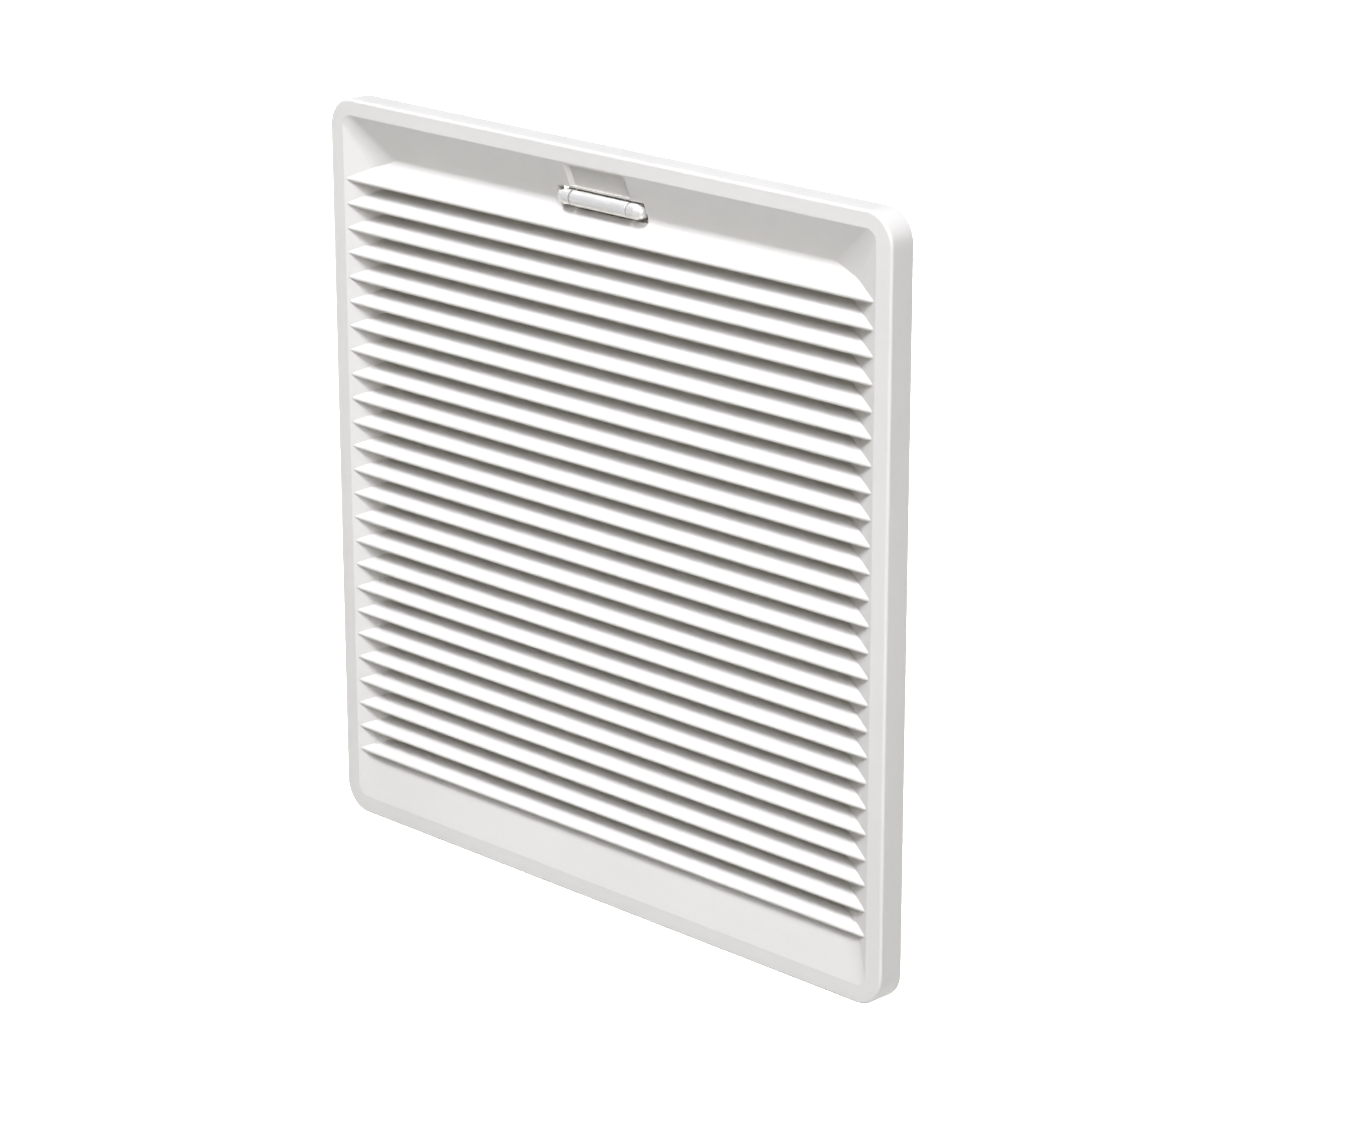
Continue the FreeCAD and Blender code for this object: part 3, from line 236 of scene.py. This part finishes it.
def mat_piece():
    """The fibre mat: a slab with soft cut edges and a slightly uneven, tufted surface."""
    low, high = (Vector(v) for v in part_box("filter_mat"))
    nx, nz, depth = 150, 146, 9
    edge = 0.0022
    y0, y1 = low.y, high.y

    def spread(n):
        """Positions from 0 to 1, closer together near both ends."""
        t = np.linspace(0, 1, n)
        return 0.5 - 0.5 * np.sign(1 - 2 * t) * np.abs(1 - 2 * t) ** 0.92

    xs, zs = spread(nx), spread(nz)
    ring = [(i, 0) for i in range(nx)] + [(nx - 1, j) for j in range(1, nz)] + [(i, nz - 1) for i in range(nx - 2, -1, -1)] + [(0, j) for j in range(nz - 2, 0, -1)]
    verts, faces = [], []

    def point(i, j, side):
        """side 0 is the front face, 1 the rear face."""
        x = low.x + (high.x - low.x) * xs[i]
        z = low.z + (high.z - low.z) * zs[j]
        border = min(x - low.x, high.x - x, z - low.z, high.z - z)
        inward = edge - math.sqrt(max(edge * edge - max(edge - border, 0.0) ** 2, 0.0))
        tuft = 0.00035 * (0.5 + 0.5 * noise.noise(Vector((x * 130, side * 7.0, z * 130)))) + 0.00035 * (0.5 + 0.5 * noise.noise(Vector((x * 420, side * 3.0, z * 420))))
        drop = inward + tuft
        return Vector((x, y0 + drop if side == 0 else y1 - drop, z))

    for side in (0, 1):
        start = len(verts)
        for j in range(nz):
            for i in range(nx):
                verts.append(point(i, j, side))
        for j in range(nz - 1):
            for i in range(nx - 1):
                a = start + j * nx + i
                quad = (a, a + 1, a + nx + 1, a + nx)
                faces.append(quad if side == 0 else quad[::-1])
    # edge band between the two faces
    count = len(ring)
    bands = []
    for k in range(depth + 1):
        if k == 0:
            bands.append([j * nx + i for i, j in ring])
        elif k == depth:
            bands.append([nx * nz + j * nx + i for i, j in ring])
        else:
            row = []
            t = k / depth
            for i, j in ring:
                a, b = verts[j * nx + i], verts[nx * nz + j * nx + i]
                p = a.lerp(b, t)
                out = Vector(((1 if i == nx - 1 else -1 if i == 0 else 0), 0, (1 if j == nz - 1 else -1 if j == 0 else 0)))
                if out.length:
                    out.normalize()
                fluff = 0.0006 * (0.5 + 0.5 * noise.noise(Vector((p.x * 300, p.y * 300, p.z * 300))))
                row.append(len(verts))
                verts.append(p - out * fluff)
            bands.append(row)
    for k in range(depth):
        for n in range(count):
            faces.append((bands[k][n], bands[k + 1][n], bands[k + 1][(n + 1) % count], bands[k][(n + 1) % count]))
    obj = add_piece("fibre_mat", verts, faces, FIBRE)
    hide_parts("filter_mat")
    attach(obj, "base")
    return obj


mat_piece()

# ---------------------------------------------------------------- gasket


def gasket_piece():
    """The foam seal: a square ring with soft edges, pressed flat at the rear."""
    low, high = (Vector(v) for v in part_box("panel_gasket"))
    outer, inner = high.x, high.x - 0.0038
    middle = (outer + inner) / 2
    half_w = (outer - inner) / 2
    y0, y1 = low.y, high.y
    corner = 0.0080
    steps_corner, steps_side = 10, 90
    path = []
    for q in range(4):
        centre = Vector(((1, 0, 1), (-1, 0, 1), (-1, 0, -1), (1, 0, -1))[q]) * (middle - corner)
        for s in range(steps_corner):
            a = math.pi / 2 * (q + s / steps_corner)
            path.append((centre + Vector((math.cos(a), 0, math.sin(a))) * corner, Vector((math.cos(a), 0, math.sin(a)))))
        a = math.pi / 2 * (q + 1)
        out = Vector((math.cos(a), 0, math.sin(a)))
        nxt = Vector(((-1, 0, 1), (-1, 0, -1), (1, 0, -1), (1, 0, 1))[q]) * (middle - corner)
        p0, p1 = centre + out * corner, nxt + out * corner
        for s in range(steps_side):
            path.append((p0.lerp(p1, s / steps_side), out))
    section = []
    r = 0.0004
    mid_y, half_y = (y0 + y1) / 2, (y1 - y0) / 2
    for cx, cy, a0 in ((half_w - r, half_y - r, 0), (-half_w + r, half_y - r, 90), (-half_w + r, -half_y + r, 180), (half_w - r, -half_y + r, 270)):
        for s in range(4):
            a = math.radians(a0 + 30 * s)
            section.append((cx + r * math.cos(a), cy + r * math.sin(a)))
    verts, faces = [], []
    n, m = len(path), len(section)
    for k, (p, out) in enumerate(path):
        for u, v in section:
            q = p + out * u + Vector((0, mid_y + v, 0))
            dent = 0.00012 * (0.5 + 0.5 * noise.noise(q * 260))
            inside = Vector((p.x, mid_y, p.z)) - q
            verts.append(q + inside.normalized() * dent)
    for k in range(n):
        for s in range(m):
            a, b = k * m + s, k * m + (s + 1) % m
            c, d = ((k + 1) % n) * m + (s + 1) % m, ((k + 1) % n) * m + s
            faces.append((a, b, c, d))
    obj = add_piece("foam_seal", verts, faces, FOAM)
    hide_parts("panel_gasket")
    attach(obj, "base")
    return obj


gasket_piece()

# ---------------------------------------------------------------- floor, light, camera

floor_z = -0.90
bpy.ops.mesh.primitive_plane_add(size=40, location=(0, 0, floor_z))
floor = bpy.context.object
floor.name = "floor"
m = Mat("pale_floor")
tone = m.ramp(m.noise(1.2, 3.0, 0.5), [(0.3, (0.90, 0.885, 0.83)), (0.7, (0.93, 0.915, 0.86))])
# the floor glows faintly away from the object, like a lit studio sweep
radius = m.add("ShaderNodeVectorMath", operation="LENGTH")
m.link(m.coord, radius.inputs[0])
m.link(m.span(radius.outputs["Value"], 0.0, 0.37, 1.0, 2.4), m.bsdf.inputs["Emission Strength"])
m.set(Roughness=0.8, Emission_Color=(1.0, 1.0, 1.0, 1))
floor.data.materials.append(m.finish(tone))

world = bpy.data.worlds.new("studio")
bpy.context.scene.world = world
world.use_nodes = True
world.node_tree.nodes["Background"].inputs["Color"].default_value = (1.0, 1.0, 1.0, 1)
world.node_tree.nodes["Background"].inputs["Strength"].default_value = 0.03


def softbox(name, azimuth, elevation, distance, size, power, target=(0, 0, 0), spread=180, colour=(1, 1, 1)):
    """A square area light. Azimuth 0 is straight ahead of the louvred face, positive to its right."""
    a, e = math.radians(azimuth), math.radians(elevation)
    where = Vector(target) + distance * Vector((math.sin(a) * math.cos(e), -math.cos(a) * math.cos(e), math.sin(e)))
    data = bpy.data.lights.new(name, "AREA")
    data.shape = "RECTANGLE"
    data.size, data.size_y = size
    data.energy = power
    data.spread = math.radians(spread)
    data.color = colour
    lamp = bpy.data.objects.new(name, data)
    lamp.location = where
    lamp.rotation_euler = (Vector(target) - where).to_track_quat("-Z", "Y").to_euler()
    bpy.context.scene.collection.objects.link(lamp)
    return lamp


COOL = (0.965, 0.99, 1.10)
softbox("key", 0, 64.0, 3.6, (0.90, 0.90), 17.6, spread=60, colour=COOL)
softbox("front", 50, 38, 2.8, (1.4, 1.2), 9.0, spread=70, colour=COOL)
softbox("side", 78, -6, 2.4, (1.0, 1.0), 11.5, target=(0, 0, -0.1), colour=COOL)
# the floor behind the object has lamps of its own, aimed straight down and kept off the object
softbox("backdrop_far", 0, 89.9, 5.5, (2.6, 2.6), 560.0, target=(-4.0, 4.2, floor_z), spread=84)
softbox("backdrop_near", 0, 89.9, 2.5, (1.2, 1.2), 60.0, target=(-1.3, 1.8, floor_z), spread=72)

cam_yaw, cam_pitch, cam_dist = math.radians(45.05), math.radians(17.84), 1.702
back = Vector((math.sin(cam_yaw) * math.cos(cam_pitch), -math.cos(cam_yaw) * math.cos(cam_pitch), math.sin(cam_pitch)))
right = Vector((math.cos(cam_yaw), math.sin(cam_yaw), 0))
up = back.cross(right)
aim = Vector((0, -0.0125, 0)) + right * 0.0349 - up * 0.0139
data = bpy.data.cameras.new("camera")
data.lens = 109.7
data.sensor_width = 36.0
data.sensor_fit = "HORIZONTAL"
data.clip_start, data.clip_end = 0.05, 60
camera = bpy.data.objects.new("camera", data)
camera.location = aim + back * cam_dist
camera.rotation_euler = (-back).to_track_quat("-Z", "Y").to_euler()
bpy.context.scene.collection.objects.link(camera)
bpy.context.scene.camera = camera

view = bpy.context.scene.view_settings
view.view_transform = "Standard"
view.look = "None"
view.exposure = 0.0
view.gamma = 1.0
